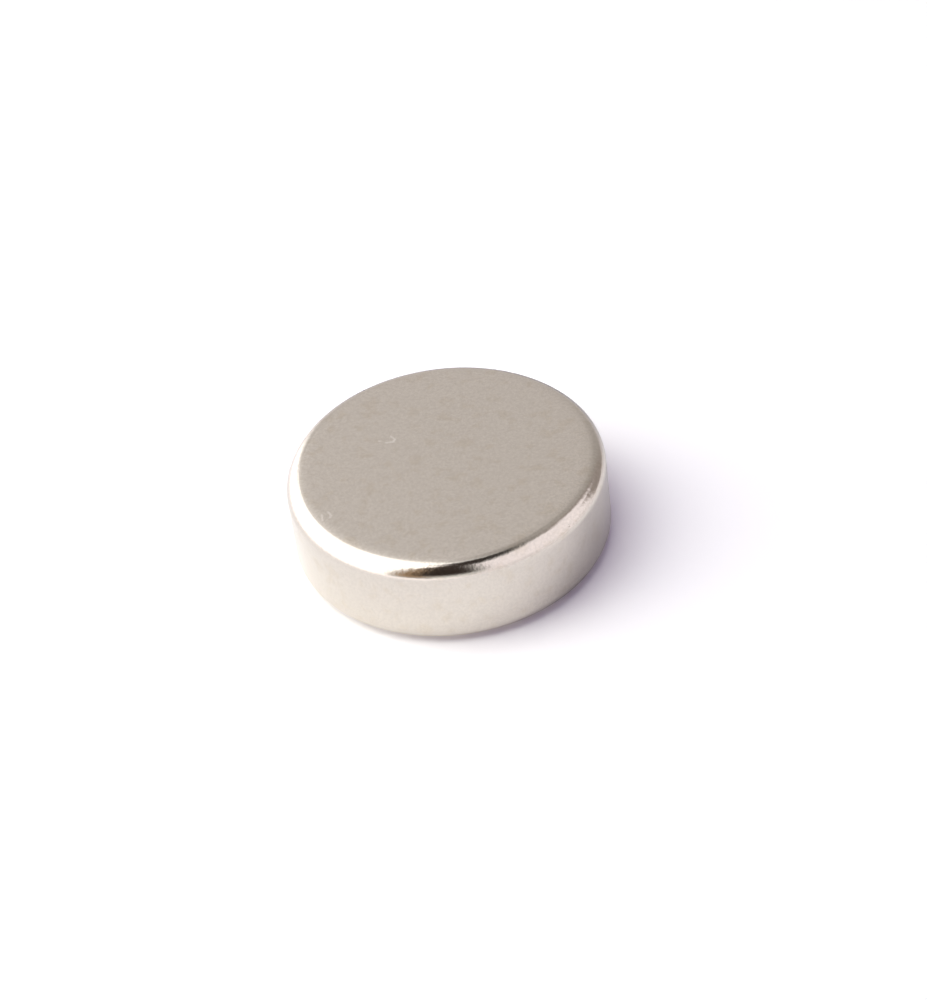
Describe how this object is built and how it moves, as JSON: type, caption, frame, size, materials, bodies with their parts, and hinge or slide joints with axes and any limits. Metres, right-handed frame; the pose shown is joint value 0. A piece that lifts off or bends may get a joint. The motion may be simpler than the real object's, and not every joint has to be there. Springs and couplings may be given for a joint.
{
  "type": "disc magnet",
  "caption": "Small round magnet: a solid metal puck with two flat faces, a straight rim and rounded edges, which holds to steel by either face.",
  "frame": {"origin": "centre of the lower flat face", "axes": "+Z along the disc's axis, from the lower face to the upper face"},
  "size_m": [0.01, 0.01, 0.003],
  "materials": {
    "nickel_plate": "bright warm nickel plate, satin on the flat faces and smoother on the rounded edges and rim"
  },
  "bodies": {
    "root": {"magnet": "nickel_plate"}
  },
  "joints": []
}
